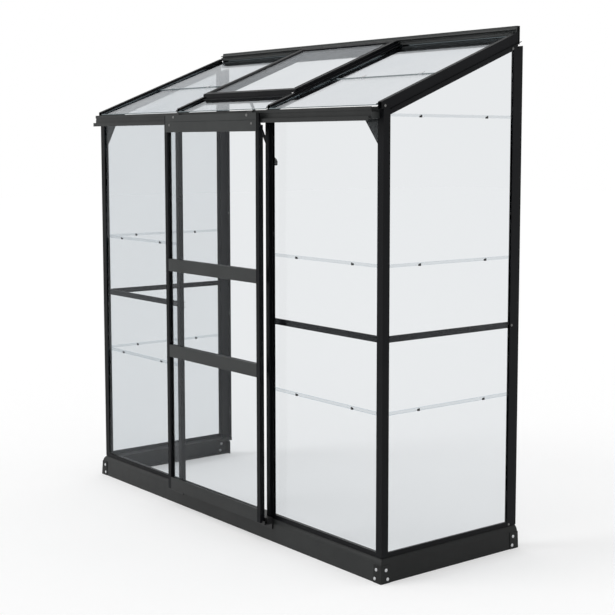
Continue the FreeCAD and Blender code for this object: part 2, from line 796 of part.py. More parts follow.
def side_glass():
    start = "(frame_inset + post_tube + edge_play)"
    end = f"({WALL} - wall_post_depth - edge_play)"
    outer = f"({HALF} - {SLOT} - glass_play)"
    feet = ["sill_height + glass_play", lap_line(0), lap_line(1)]
    heads = [f"{lap_line(row)} + lap" for row in (0, 1, 2)]
    panes = []
    for row, (low, high) in enumerate(zip(feet, heads), start=1):
        item = body(f"side_pane_{row}")
        leaning_pane(item, "XZ_Plane", start, f"{end} - {start}", low, high, outer, -1)
        panes.append(item)
    gable = body("gable_pane")
    cover = "(gable_depth - channel_depth)"
    corners = [(start, lap_line(2)), (end, lap_line(2)), on_roof(end, cover),
               on_roof(start, cover)]
    pad(gable, sketch(gable, "YZ_Plane", f"{outer} - glass", corners), "glass")
    panes.append(gable)
    lapped("glass_side_right", "glass_side_left", panes)


def roof_pane(item, at, width, low, high, lean):
    """A pane in the roof slots; lean drops its upper end below the pane above."""
    top = "(roof_slot + glass_play)"
    corners = [on_roof(low, top), on_roof(high, f"{top} + {lean}"),
               on_roof(high, f"{top} + {lean} + glass"), on_roof(low, f"{top} + glass")]
    pad(item, sketch(item, "YZ_Plane", at, corners), width)


def roof_glass():
    start = f"({RAFTER_X} + rafter_width / 2 + edge_play)"
    width = f"{FACE} - post_tube - edge_play - {start}"
    lean = "(glass + lap_gap)"
    head = f"{RIDGE_FRONT} + ridge_slot_depth - edge_play"
    lower = body("roof_pane_1")
    roof_pane(lower, start, width, "roof_glass_start", "roof_lap + lap", lean)
    upper = body("roof_pane_2")
    roof_pane(upper, start, width, "roof_lap", head, lean)
    lapped("glass_roof_right", "glass_roof_left", [lower, upper])
    strip = body("glass_roof_strip")
    side = f"({RAFTER_X} - rafter_width / 2 - edge_play)"
    roof_pane(strip, f"-{side}", f"2 * {side}", "roof_glass_start",
              "strip_end - edge_play", "0")
    NODES.append(strip)


# Sliding door in front of the frame

DOOR_SIDE = "(door_width / 2)"
STILE_IN = f"({DOOR_SIDE} - door_stile)"
HEAD_TOP = f"({BEAM_UNDER} + head_rise)"
HEAD_LOW = f"({HEAD_TOP} - head_height)"
KICK_TOP = "(door_foot + door_kick)"
SLOT_NEAR = "(-door_front + door_depth / 2 - door_slot / 2)"
SLOT_FAR = "(-door_front + door_depth / 2 + door_slot / 2)"
GROOVE_NEAR = f"({TRACK_Y} - guide_sheet / 2 - guide_play)"
GROOVE_FAR = f"({TRACK_Y} + guide_sheet / 2 + guide_play)"
GROOVE_TOP = "(door_foot + guide_groove)"


def door_stile():
    """Stile with a notch over the floor guides and an ear behind the cover plate."""
    item = body("door_stile_right")
    deep = f"({STILE_IN} + door_slot_depth)"
    front = "(-door_front)"
    plan = [(STILE_IN, front), (DOOR_SIDE, front), (DOOR_SIDE, DOOR_BACK), (STILE_IN, DOOR_BACK),
            (STILE_IN, SLOT_FAR), (deep, SLOT_FAR), (deep, SLOT_NEAR), (STILE_IN, SLOT_NEAR)]
    hollow = box_loop(f"{deep} + door_wall", f"{front} + door_wall",
                      f"{DOOR_SIDE} - door_wall", f"{DOOR_BACK} - door_wall")
    outline = sketch(item, "XY_Plane", "door_foot", plan, holes=[hollow])
    top = f"({BEAM_UNDER} - stile_top_gap)"
    pad(item, outline, f"{top} - door_foot")
    ear = box_loop(STILE_IN, front, DOOR_SIDE, f"{front} + stile_ear")
    pad(item, sketch(item, "XY_Plane", f"{top} - overrun", ear),
        f"{HEAD_TOP} - post_wall - seat_gap - {top} + overrun")
    notch = box_loop(GROOVE_NEAR, "door_foot - overrun", GROOVE_FAR, GROOVE_TOP)
    pocket(item, sketch(item, "YZ_Plane", STILE_IN, notch), "4 * door_stile")
    pair(item, "door_stile_left")


def door_rail(label, middle):
    """Tube between the stiles with a pane slot above and below."""
    half = f"({STILE_IN} - seat_gap)"
    low = f"({middle} - door_rail / 2)"
    high = f"({middle} + door_rail / 2)"
    front = "(-door_front)"
    corners = [(front, low), (SLOT_NEAR, low), (SLOT_NEAR, f"{low} + door_slot_depth"),
               (SLOT_FAR, f"{low} + door_slot_depth"), (SLOT_FAR, low), (DOOR_BACK, low),
               (DOOR_BACK, high), (SLOT_FAR, high), (SLOT_FAR, f"{high} - door_slot_depth"),
               (SLOT_NEAR, f"{high} - door_slot_depth"), (SLOT_NEAR, high), (front, high)]
    hollow = box_loop(f"{front} + door_wall", f"{low} + door_slot_depth + door_wall",
                      f"{DOOR_BACK} - door_wall", f"{high} - door_slot_depth - door_wall")
    NODES.append(bar_x(label, f"-{half}", f"2 * {half}", corners, holes=[hollow]))


def door_kick_rail():
    """Bottom rail; the floor guides run in its lower groove."""
    half = f"({STILE_IN} - seat_gap)"
    front = "(-door_front)"
    corners = [(front, "door_foot"), (GROOVE_NEAR, "door_foot"), (GROOVE_NEAR, GROOVE_TOP),
               (GROOVE_FAR, GROOVE_TOP), (GROOVE_FAR, "door_foot"), (DOOR_BACK, "door_foot"),
               (DOOR_BACK, KICK_TOP), (SLOT_FAR, KICK_TOP),
               (SLOT_FAR, f"{KICK_TOP} - door_slot_depth"),
               (SLOT_NEAR, f"{KICK_TOP} - door_slot_depth"), (SLOT_NEAR, KICK_TOP),
               (front, KICK_TOP)]
    hollow = box_loop(f"{front} + door_wall", f"{GROOVE_TOP} + door_wall",
                      f"{DOOR_BACK} - door_wall", f"{KICK_TOP} - door_slot_depth - door_wall")
    NODES.append(bar_x("door_rail_bottom", f"-{half}", f"2 * {half}", corners, holes=[hollow]))


def door_header():
    """Cover plate over the wheels with a box rail behind its lower part."""
    item = body("door_header")
    face = "(-door_front - head_sheet)"
    back = "(-door_front)"
    line = f"({HEAD_TOP} - head_groove_drop)"
    plate = [(face, HEAD_LOW), (back, HEAD_LOW), (back, f"{HEAD_TOP} - post_wall"),
             (f"{back} + head_return / 2", f"{HEAD_TOP} - post_wall"),
             (f"{back} + head_return / 2", HEAD_TOP), (face, HEAD_TOP), (face, line),
             (f"{face} + head_groove", f"{line} - head_groove"),
             (face, f"{line} - 2 * head_groove")]
    pad(item, sketch(item, "YZ_Plane", "-head_width / 2", plate), "head_width")
    half = f"({STILE_IN} - seat_gap)"
    top = f"({HEAD_LOW} + head_box)"
    slot = f"({HEAD_LOW} + door_slot_depth)"
    box = [(back, HEAD_LOW), (SLOT_NEAR, HEAD_LOW), (SLOT_NEAR, slot), (SLOT_FAR, slot),
           (SLOT_FAR, HEAD_LOW), (DOOR_BACK, HEAD_LOW), (DOOR_BACK, top), (back, top)]
    hollow = box_loop(f"{back} + door_wall", f"{slot} + door_wall",
                      f"{DOOR_BACK} - door_wall", f"{top} - door_wall")
    pad(item, sketch(item, "YZ_Plane", f"-{half}", box, holes=[hollow]), f"2 * {half}")
    for side in ("", "-"):
        hole = round_sketch(item, "XZ_Plane", face, (f"{side}wheel_spacing / 2", AXLE_Z),
                            "axle_radius + running_gap")
        pocket(item, hole, "4 * head_sheet")
    NODES.append(item)


def door_glass():
    half = f"({STILE_IN} + door_slot_depth - edge_play)"
    back = f"({PANE_FRONT} + glass)"
    inset = "(door_slot_depth - edge_play)"
    rows = (("lower", KICK_TOP, "(door_rail_low - door_rail / 2)"),
            ("middle", "(door_rail_low + door_rail / 2)", "(door_rail_high - door_rail / 2)"),
            ("upper", "(door_rail_high + door_rail / 2)", HEAD_LOW))
    for name, low, high in rows:
        loop = box_loop(PANE_FRONT, f"{low} - {inset}", back, f"{high} + {inset}")
        NODES.append(bar_x(f"glass_door_{name}", f"-{half}", f"2 * {half}", loop))


def door_wheel():
    """Grooved wheel that rolls on the rib of the track."""
    item = body("door_wheel_right")
    inner = "(axle_radius + running_gap)"
    rim = "(wheel_radius + wheel_rim)"
    near = f"({TRACK_Y} - wheel_width / 2)"
    far = f"({TRACK_Y} + wheel_width / 2)"
    groove = "(track_rib / 2 + wheel_groove_play)"
    wide = f"({groove} + wheel_groove_flare)"
    profile = [(near, inner), (far, inner), (far, rim), (f"{TRACK_Y} + {wide}", rim),
               (f"{TRACK_Y} + {groove}", "wheel_radius"), (f"{TRACK_Y} - {groove}", "wheel_radius"),
               (f"{TRACK_Y} - {wide}", rim), (near, rim)]
    outline = sketch(item, "YZ_Plane", "wheel_spacing / 2", profile, rise=AXLE_Z)
    turned = item.newObject("PartDesign::Revolution", "wheel_turned")
    turned.Profile = outline
    turned.ReferenceAxis = (outline, ["H_Axis"])
    turned.Angle = 360
    item.Tip = turned
    pair(item, "door_wheel_left")


def wheel_axles():
    """Two shoulder bolts from the cover plate through the wheels, each with its nut."""
    face = "(-door_front - head_sheet)"
    near = f"({TRACK_Y} - wheel_width / 2 - axle_play)"
    far = f"({TRACK_Y} + wheel_width / 2 + axle_play)"
    end = f"({far} + axle_nut)"
    collar = "(axle_radius + axle_collar)"
    profile = [(f"{face} - bolt_head", "0"), (end, "0"), (end, collar), (far, collar),
               (far, "axle_radius"), (near, "axle_radius"), (near, collar),
               ("-door_front + seat_gap", collar), ("-door_front + seat_gap", "axle_radius"),
               (face, "axle_radius"), (face, "bolt_head_radius"),
               (f"{face} - bolt_head", "bolt_head_radius - axle_collar")]
    bolts = []
    for name, side in (("axle_right", ""), ("axle_left", "-")):
        item = body(name)
        outline = sketch(item, "YZ_Plane", f"{side}wheel_spacing / 2", profile, rise=AXLE_Z)
        turned = item.newObject("PartDesign::Revolution", name + "_turned")
        turned.Profile = outline
        turned.ReferenceAxis = (outline, ["H_Axis"])
        turned.Angle = 360
        item.Tip = turned
        bolts.append(item)
    group = doc.addObject("Part::Compound", "door_wheel_axles")
    group.Label = "door_wheel_axles"
    group.Links = bolts
    NODES.append(group)


def door_guides():
    """Blocks on the plinth whose tongues stand in the groove under the door."""
    rest = "(bracket_sheet + sill_lean * guide_low / sill_break - seat_gap)"
    apron = f"({rest} - guide_apron)"
    near = f"({TRACK_Y} - guide_sheet / 2)"
    far = f"({near} + guide_sheet)"
    arm = "(door_foot - guide_sheet - guide_drop)"
    face = f"({DOOR_BACK} + guide_clear)"
    tongue = "(door_foot + door_slot_depth)"
    guides = []
    for name, side in (("guide_right", 1), ("guide_left", -1)):
        item = body(name)
        corners = [(near, arm), (apron, arm), (apron, "guide_low"), (rest, "guide_low"),
                   (rest, "guide_top"), (face, "guide_top"), (face, f"{arm} + guide_sheet"),
                   (far, f"{arm} + guide_sheet"), (far, tongue), (near, tongue)]
        start = f"{side} * {RAFTER_X} - guide_width / 2"
        pad(item, sketch(item, "YZ_Plane", start, corners), "guide_width")
        guides.append(item)
    group = doc.addObject("Part::Compound", "door_guides")
    group.Label = "door_guides"
    group.Links = guides
    NODES.append(group)


# Roof vent: four members round one pane, a round bead as the hinge

VENT_TOP = "(-(vent_rest + vent_thick))"
VENT_LOW = "(-vent_rest)"
VENT_SLOT_TOP = "(-(vent_rest + vent_thick / 2 + vent_slot / 2))"
VENT_SLOT_LOW = "(-(vent_rest + vent_thick / 2 - vent_slot / 2))"
VENT_SIDE = "(vent_width / 2)"
VENT_RAIL_END = "(vent_start + vent_member)"
VENT_HEAD = f"({HINGE_Y} - neck_length)"
VENT_HEAD_START = f"({VENT_HEAD} - vent_head_rail)"
STAY_Y = "(strip_end + vent_bar + stay_setback)"


def vent_side():
    item = body("vent_side_right")
    inner = f"({VENT_SIDE} - vent_side_width)"
    deep = f"({inner} + vent_slot_depth)"
    start = f"({VENT_RAIL_END} + seat_gap)"
    loop = [(VENT_SIDE, VENT_LOW), (VENT_SIDE, VENT_TOP), (inner, VENT_TOP),
            (inner, VENT_SLOT_TOP), (deep, VENT_SLOT_TOP), (deep, VENT_SLOT_LOW),
            (inner, VENT_SLOT_LOW), (inner, VENT_LOW)]
    outline = sketch(item, "XZ_Plane", start, hang(loop, start))
    slope_pad(item, outline, f"{VENT_HEAD_START} - seat_gap - {start}")
    pair(item, "vent_side_left")


def vent_bottom_rail():
    """Lower member with a drip lip between the rafters and the ears for the stay."""
    deep = f"({VENT_RAIL_END} - vent_slot_depth)"
    section = [on_roof("vent_start", VENT_TOP), on_roof(VENT_RAIL_END, VENT_TOP),
               on_roof(VENT_RAIL_END, VENT_SLOT_TOP), on_roof(deep, VENT_SLOT_TOP),
               on_roof(deep, VENT_SLOT_LOW), on_roof(VENT_RAIL_END, VENT_SLOT_LOW),
               on_roof(VENT_RAIL_END, VENT_LOW), on_roof("vent_start", VENT_LOW)]
    item = bar_x("vent_bottom_rail", f"-{VENT_SIDE}", "vent_width", section)
    lip_half = f"({RAFTER_X} - rafter_width / 2 - channel_depth - vent_lip_play)"
    lip_back = "vent_start + vent_lip_sheet"
    lip = [on_roof("vent_start", VENT_LOW), on_roof(lip_back, VENT_LOW),
           on_roof(lip_back, "vent_lip"), on_roof("vent_start", "vent_lip")]
    pad(item, sketch(item, "YZ_Plane", f"-{lip_half}", lip), f"2 * {lip_half}")
    front = f"{STAY_Y} - ear_reach"
    back = f"{STAY_Y} + ear_reach"
    ear = [on_roof(front, VENT_LOW), on_roof(back, VENT_LOW),
           on_roof(back, "stay_drop + ear_below"), on_roof(front, "stay_drop + ear_below")]
    clear = "(stay_width / 2 + seat_gap)"
    for start in (clear, f"-{clear} - stay_sheet"):
        pad(item, sketch(item, "YZ_Plane", start, ear), "stay_sheet")
    pin = round_sketch(item, "YZ_Plane", f"-{clear} - stay_sheet / 2",
                       on_roof(STAY_Y, "stay_drop"), "stay_pin")
    pad(item, pin, f"2 * {clear} + stay_sheet")
    NODES.append(item)


def vent_hinge_rail():
    """Upper member with the neck and the round bead that turns in the ridge."""
    deep = f"({VENT_HEAD_START} + vent_slot_depth)"
    section = [on_roof(VENT_HEAD_START, VENT_TOP), on_roof(VENT_HEAD, VENT_TOP),
               on_roof(VENT_HEAD, VENT_LOW), on_roof(VENT_HEAD_START, VENT_LOW),
               on_roof(VENT_HEAD_START, VENT_SLOT_LOW), on_roof(deep, VENT_SLOT_LOW),
               on_roof(deep, VENT_SLOT_TOP), on_roof(VENT_HEAD_START, VENT_SLOT_TOP)]
    item = bar_x("vent_hinge_rail", f"-{VENT_SIDE}", "vent_width", section)
    axis = "-(vent_rest + vent_thick / 2)"
    root = f"{VENT_HEAD} - neck_sheet / 2"
    under = f"{axis} + neck_sheet / 2"
    over = f"{axis} - neck_sheet / 2"
    neck = [on_roof(root, under), on_roof(HINGE_Y, under), on_roof(HINGE_Y, over),
            on_roof(root, over)]
    pad(item, sketch(item, "YZ_Plane", f"-{VENT_SIDE}", neck), "vent_width")
    bead = round_sketch(item, "YZ_Plane", f"-{VENT_SIDE}", (HINGE_Y, HINGE_Z), "bead_radius")
    pad(item, bead, "vent_width")
    NODES.append(item)


def vent_glass():
    half = f"({VENT_SIDE} - vent_side_width + vent_slot_depth - edge_play)"
    low = f"({VENT_RAIL_END} - vent_slot_depth + edge_play)"
    high = f"({VENT_HEAD_START} + vent_slot_depth - edge_play)"
    top = "(-(vent_rest + vent_thick / 2 + glass / 2))"
    base = "(-(vent_rest + vent_thick / 2 - glass / 2))"
    corners = [on_roof(low, top), on_roof(high, top), on_roof(high, base), on_roof(low, base)]
    NODES.append(bar_x("glass_vent", f"-{half}", f"2 * {half}", corners))


def vent_sill_bar():
    """Cross bar between the rafters: holds the strip's head and the stay's peg."""
    low = "(roof_slot + channel_gap)"
    back = "(strip_end + vent_bar)"
    fins = f"({RAFTER_X} - rafter_width / 2 - channel_depth - seat_gap)"
    tubes = f"({RAFTER_X} - rafter_width / 2 - seat_gap)"
    top = "(roof_slot - post_wall)"
    lower = f"({low} + post_wall)"
    start = "strip_end - strip_cover"
    floor = f"{lower} + post_wall / 2"
    section = [on_roof(start, top), on_roof(back, top), on_roof(back, floor), on_roof(start, floor),
               on_roof(start, low), on_roof("strip_end", low), on_roof("strip_end", "roof_slot"),
               on_roof(start, "roof_slot")]
    item = bar_x("vent_sill_bar", f"-{fins}", f"2 * {fins}", section)
    under = [on_roof("strip_end", f"{lower} + seat_gap"), on_roof(back, f"{lower} + seat_gap"),
             on_roof(back, f"{top} + vent_bar_depth"),
             on_roof("strip_end", f"{top} + vent_bar_depth")]
    pad(item, sketch(item, "YZ_Plane", f"-{tubes}", under), f"2 * {tubes}")
    peg = round_sketch(item, "XZ_Plane", f"{back} - vent_bar / 2",
                       ("0", roof(back, f"{top} + vent_bar_depth / 2")), "peg_radius")
    pad(item, peg, "peg_length + vent_bar / 2")
    NODES.append(item)


def vent_stay():
    """Perforated flat bar with a rolled eye and a hooked end, drawn hanging down."""
    item = doc.addObject("PartDesign::Body", "vent_stay")
    item.Label = "vent_stay"
    half = "(stay_width / 2)"
    thin = "(stay_sheet / 2)"
    bend = "(stay_hook_rise - stay_length)"
    blade = [(f"-{thin}", "-stay_pin"), (f"-{thin}", bend), ("stay_hook_reach", "-stay_length"),
             ("stay_hook_reach + stay_hook_tip", "stay_hook_tip - stay_length"),
             (thin, f"{bend} + stay_hook_tip"), (thin, "-stay_pin")]
    pad(item, sketch(item, "YZ_Plane", f"-{half}", blade), "stay_width")
    eye = round_sketch(item, "YZ_Plane", f"-{half}", ("0", "0"), "stay_pin + stay_eye_wall")
    pad(item, eye, "stay_width")
    bore = round_sketch(item, "YZ_Plane", "0", ("0", "0"), "stay_pin + running_gap")
    pocket(item, bore, "2 * stay_width")
    hole = round_sketch(item, "XZ_Plane", "0", ("0", "stay_hole_start - stay_length"), "stay_hole")
    drilled = pocket(item, hole, "4 * stay_sheet")
    row = item.newObject("PartDesign::LinearPattern", "stay_holes")
    row.Originals = [drilled]
    row.Direction = (hole, ["V_Axis"])
    row.setExpression("Length", bound("stay_hole_pitch * (stay_hole_count - 1)"))
    row.setExpression("Occurrences", bound("stay_hole_count"))
    item.Tip = row
    lean = f"{PITCH} + stay_lean * 1deg"
    item.Placement.Rotation = FreeCAD.Rotation(FreeCAD.Vector(1, 0, 0), number(lean))
    item.setExpression("Placement.Rotation.Angle", bound(lean))
    item.setExpression("Placement.Base.y", bound(f"{STAY_Y} - {MIDDLE}"))
    item.setExpression("Placement.Base.z", bound(roof(STAY_Y, "stay_drop")))
    NODES.append(item)


front_sill()
side_sill()
front_bracket()
rear_bracket()
corner_post()
door_post()
wall_post()
eave_gutter()
gusset()
mid_rails()
rafter()
gable_rafter()
ridge_bar()
front_glass()
side_glass()
roof_glass()
door_stile()
door_rail("door_rail_upper", "door_rail_high")
door_rail("door_rail_lower", "door_rail_low")
door_kick_rail()
door_header()
door_glass()
door_wheel()
wheel_axles()
door_guides()
vent_side()
vent_bottom_rail()
vent_hinge_rail()
vent_glass()
vent_sill_bar()
vent_stay()
doc.recompute()

for item in doc.Objects:
    if "Invalid" in item.State or "Error" in item.State:
        raise ValueError(f"{item.Label}: {item.State}")
for node in NODES:
    if node.Shape.isNull() or not node.Shape.isValid():
        raise ValueError(f"{node.Label} has no valid shape")

os.makedirs("parts", exist_ok=True)
for node in NODES:
    node.Shape.exportStep(f"parts/{node.Label}.step")
    box = node.Shape.BoundBox
    print(f"{node.Label}: {len(node.Shape.Solids)} solids, "
          f"x {box.XMin:.1f} {box.XMax:.1f}, y {box.YMin:.1f} {box.YMax:.1f}, "
          f"z {box.ZMin:.1f} {box.ZMax:.1f}")
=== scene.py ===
"""Looks of a lean-to greenhouse: powder-coated frame, clear lapped glass and its small fittings."""
import math

import bmesh
import bpy
from mathutils import Matrix, Vector


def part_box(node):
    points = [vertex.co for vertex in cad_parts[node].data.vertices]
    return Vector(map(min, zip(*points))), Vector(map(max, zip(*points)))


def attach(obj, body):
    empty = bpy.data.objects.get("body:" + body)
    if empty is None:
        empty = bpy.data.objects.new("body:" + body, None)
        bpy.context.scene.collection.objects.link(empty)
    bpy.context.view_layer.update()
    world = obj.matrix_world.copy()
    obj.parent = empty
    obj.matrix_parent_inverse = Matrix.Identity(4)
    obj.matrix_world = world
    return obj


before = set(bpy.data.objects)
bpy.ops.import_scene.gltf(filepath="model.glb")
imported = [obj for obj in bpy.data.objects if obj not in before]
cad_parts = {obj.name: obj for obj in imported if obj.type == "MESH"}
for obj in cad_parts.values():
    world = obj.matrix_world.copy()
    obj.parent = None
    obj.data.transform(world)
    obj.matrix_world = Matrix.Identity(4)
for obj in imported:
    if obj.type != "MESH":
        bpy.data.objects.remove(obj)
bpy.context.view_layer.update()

# Left and right of the middle
SIDES = (-1, 1)

# Places that the fittings are hung on, in metres, read from the frame

corner_low, corner_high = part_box("corner_bracket_front_right")
HALF_LENGTH = corner_high.x
FRONT = corner_low.y
BRACKET_TOP = corner_high.z
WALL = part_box("ridge_bar")[1].y
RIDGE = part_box("ridge_bar")[1].z
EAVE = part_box("eave_gutter")[1].z
SILL_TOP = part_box("sill_front")[1].z
CORNER_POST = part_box("corner_post_right")
WALL_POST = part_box("wall_post_right")
SIDE_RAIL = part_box("rail_side_right")
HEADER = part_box("door_header")
FRONT_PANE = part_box("glass_front_right")
SIDE_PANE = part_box("glass_side_right")
VENT_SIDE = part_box("vent_side_right")
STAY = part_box("vent_stay")

# Sizes of the CAD model that its boxes don't show

PLINTH_LEAN = 0.003
ROOF_RISE = 0.0125
RIDGE_CROWN = 0.0142
FIRST_LAP = 0.576
LAP_STEP = 0.5025
ROOF_LAP = 0.292
ROOF_SLOT = 0.008
STAY_EYE = 0.0045
STAY_LEAN = math.radians(3.6)

RISE = (RIDGE - RIDGE_CROWN - EAVE - ROOF_RISE) / (WALL - FRONT)
PITCH = math.atan(RISE)
ROOF_SLOPE = (0, math.cos(PITCH), math.sin(PITCH))
ROOF_NORMAL = (0, -math.sin(PITCH), math.cos(PITCH))


def roof_z(y, depth):
    """Height of the roof plane over y, less a depth measured square to it."""
    return EAVE + ROOF_RISE + RISE * (y - FRONT) - depth / math.cos(PITCH)


# Shader nodes

NOISE_ROUGHNESS = 0.55
# Sockets of a Mix node that mixes colours
MIX_FACTOR, MIX_FIRST, MIX_SECOND, MIX_RESULT = 0, 6, 7, 2


def new_material(name):
    """A node material, its tree and its Principled shader."""
    material = bpy.data.materials.new(name)
    material.use_nodes = True
    tree = material.node_tree
    return material, tree, tree.nodes["Principled BSDF"]


def noise(tree, scale, detail):
    """A noise factor on object coordinates, in cycles per metre."""
    place = tree.nodes.new("ShaderNodeTexCoord")
    node = tree.nodes.new("ShaderNodeTexNoise")
    node.inputs["Scale"].default_value = scale
    node.inputs["Detail"].default_value = detail
    node.inputs["Roughness"].default_value = NOISE_ROUGHNESS
    tree.links.new(place.outputs["Object"], node.inputs["Vector"])
    return node.outputs["Fac"]


def ramp(tree, factor, dark, light, start=0.3, end=0.7):
    """A colour between dark and light, by a factor from start to end."""
    node = tree.nodes.new("ShaderNodeValToRGB")
    for stop, position, colour in zip(node.color_ramp.elements, (start, end), (dark, light)):
        stop.position = position
        stop.color = (*colour, 1)
    tree.links.new(factor, node.inputs["Fac"])
    return node.outputs["Color"]


def spread(tree, factor, low, high):
    """A factor from 0..1 laid out over a range."""
    node = tree.nodes.new("ShaderNodeMapRange")
    node.inputs["To Min"].default_value = low
    node.inputs["To Max"].default_value = high
    tree.links.new(factor, node.inputs["Value"])
    return node.outputs["Result"]


def reckon(tree, operation, first, second=None, number=0.0):
    """The outcome of a math node on one factor and a second factor or a plain number."""
    node = tree.nodes.new("ShaderNodeMath")
    node.operation = operation
    node.inputs[1].default_value = number
    tree.links.new(first, node.inputs[0])
    if second is not None:
        tree.links.new(second, node.inputs[1])
    return node.outputs["Value"]


def bump(tree, shader, height, distance, strength):
    """Fine relief on a shader's normal."""
    node = tree.nodes.new("ShaderNodeBump")
    node.inputs["Distance"].default_value = distance
    node.inputs["Strength"].default_value = strength
    tree.links.new(height, node.inputs["Height"])
    tree.links.new(node.outputs["Normal"], shader.inputs["Normal"])


# Materials

def powder_coat(name, dark, light, gloss):
    """Baked powder coat: fine orange peel, soft cloudiness and uneven sheen in patches."""
    material, tree, shader = new_material(name)
    cloud = noise(tree, scale=6.0, detail=4.0)
    patches = noise(tree, scale=23.0, detail=5.0)
    peel = noise(tree, scale=1400.0, detail=2.0)
    tree.links.new(ramp(tree, cloud, dark, light), shader.inputs["Base Color"])
    tree.links.new(spread(tree, patches, low=0.36, high=0.52), shader.inputs["Roughness"])
    bump(tree, shader, peel, distance=0.00004, strength=0.5)
    shader.inputs["Specular IOR Level"].default_value = gloss
    return material


def zinc(name, dark, light):
    """Zinc plate with soft spangle and slightly uneven sheen."""
    material, tree, shader = new_material(name)
    spangle = noise(tree, scale=420.0, detail=3.0)
    tree.links.new(ramp(tree, spangle, dark, light), shader.inputs["Base Color"])
    tree.links.new(spread(tree, spangle, low=0.25, high=0.45), shader.inputs["Roughness"])
    bump(tree, shader, spangle, distance=0.00005, strength=0.4)
    shader.inputs["Metallic"].default_value = 1.0
    return material


def moulded(name, dark, light, roughness):
    """Moulded nylon or rubber: fine matt grain and a faint flow cloud."""
    material, tree, shader = new_material(name)
    cloud = noise(tree, scale=40.0, detail=4.0)
    grain = noise(tree, scale=2600.0, detail=2.0)
    tree.links.new(ramp(tree, cloud, dark, light, start=0.35), shader.inputs["Base Color"])
    sheen = spread(tree, grain, low=roughness - 0.06, high=roughness + 0.08)
    tree.links.new(sheen, shader.inputs["Roughness"])
    bump(tree, shader, grain, distance=0.00004, strength=0.5)
    return material


# Clear glass: its body's tint, the dust in its shine, and how much it mirrors when seen straight on
PANE_TINT = (0.905, 0.915, 0.922)
DUST_DARK = (0.65, 0.68, 0.71)
DUST_LIGHT = (0.73, 0.75, 0.77)
SHINE_ROUGHNESS = 0.02
LEAST_MIRROR = 0.012
# Faces that turn further than this cosine from the pane's normal are its cut edges
EDGE_LIMIT = 0.7


def cut_edge(tree, normal):
    """1 on a pane's cut edges and 0 on its two faces, which look along the normal."""
    geometry = tree.nodes.new("ShaderNodeNewGeometry")
    along = tree.nodes.new("ShaderNodeVectorMath")
    along.operation = "DOT_PRODUCT"
    along.inputs[1].default_value = normal
    tree.links.new(geometry.outputs["True Normal"], along.inputs[0])
    on_face = reckon(tree, "ABSOLUTE", along.outputs["Value"])
    return reckon(tree, "LESS_THAN", on_face, number=EDGE_LIMIT)


def clear_glass(name, normal, edge, turn):
    """Horticultural glass: a mirror at low angles, dust in its shine, opaque tinted cut edges."""
    material, tree, shader = new_material(name)
    on_edge = cut_edge(tree, normal)
    layer = tree.nodes.new("ShaderNodeLayerWeight")
    low_angle = reckon(tree, "POWER", layer.outputs["Facing"], number=turn)
    cover = reckon(tree, "MAXIMUM", spread(tree, low_angle, LEAST_MIRROR, 1.0), on_edge)
    dust = ramp(tree, noise(tree, scale=4.0, detail=6.0), DUST_DARK, DUST_LIGHT)
    colour = tree.nodes.new("ShaderNodeMix")
    colour.data_type = "RGBA"
    colour.inputs[MIX_SECOND].default_value = (*edge, 1)
    tree.links.new(on_edge, colour.inputs[MIX_FACTOR])
    tree.links.new(dust, colour.inputs[MIX_FIRST])
    shine = tree.nodes.new("ShaderNodeBsdfGlossy")
    shine.inputs["Roughness"].default_value = SHINE_ROUGHNESS
    tree.links.new(colour.outputs[MIX_RESULT], shine.inputs["Color"])
    clear = tree.nodes.new("ShaderNodeBsdfTransparent")
    clear.inputs["Color"].default_value = (*PANE_TINT, 1)
    blend = tree.nodes.new("ShaderNodeMixShader")
    tree.links.new(cover, blend.inputs[0])
    tree.links.new(clear.outputs["BSDF"], blend.inputs[1])
    tree.links.new(shine.outputs["BSDF"], blend.inputs[2])
    tree.nodes.remove(shader)
    tree.links.new(blend.outputs["Shader"], tree.nodes["Material Output"].inputs["Surface"])
    return material


WALL_PANE_EDGE = (0.42, 0.55, 0.62)
ROOF_PANE_EDGE = (0.20, 0.23, 0.24)
VENT_PANE_EDGE = (0.10, 0.12, 0.13)

# Copies of one black powder coat, each lighter or darker with painted light for how light falls on its faces.
# The first is the black of most of the frame. The second is painted shade for the side sills and corner
# brackets, darker than the front sill. The third is a painted lit copy for the front sill, the door's bottom
# rail and the eave gutter. The last is a painted lit grey for the door's rails and header, the gutter caps,
# gussets and ridge.
BLACK = powder_coat("coat_black", (0.0030, 0.0034, 0.0044), (0.0050, 0.0054, 0.0066), 0.1)
SHADED_SILL_COAT = powder_coat("coat_black_painted_sill_shade", (0.0085, 0.0092, 0.0092), (0.0120, 0.0128, 0.0126), 0.18)
LIT_PLINTH_COAT = powder_coat("coat_black_painted_lit_plinth", (0.0115, 0.0127, 0.0127), (0.0175, 0.0190, 0.0187), 0.27)
LIT_BLACK_COAT = powder_coat("coat_black_painted_lit", (0.0320, 0.0345, 0.0345), (0.0410, 0.0440, 0.0435), 0.18)
GLASS_FRONT = clear_glass("glass_facing_front", (0, 1, 0), WALL_PANE_EDGE, turn=5.0)
GLASS_SIDE = clear_glass("glass_facing_side", (1, 0, 0), WALL_PANE_EDGE, turn=3.5)
GLASS_ROOF = clear_glass("glass_on_roof", ROOF_NORMAL, ROOF_PANE_EDGE, turn=5.0)
GLASS_VENT = clear_glass("glass_on_vent", ROOF_NORMAL, VENT_PANE_EDGE, turn=8.0)
ZINC = zinc("zinc_plate", (0.48, 0.49, 0.50), (0.72, 0.73, 0.74))
DULL = zinc("zinc_dull", (0.13, 0.13, 0.13), (0.24, 0.24, 0.23))
NYLON = moulded("black_nylon", (0.006, 0.006, 0.0065), (0.012, 0.012, 0.013), 0.5)
RUBBER = moulded("black_rubber", (0.010, 0.010, 0.011), (0.018, 0.018, 0.019), 0.72)


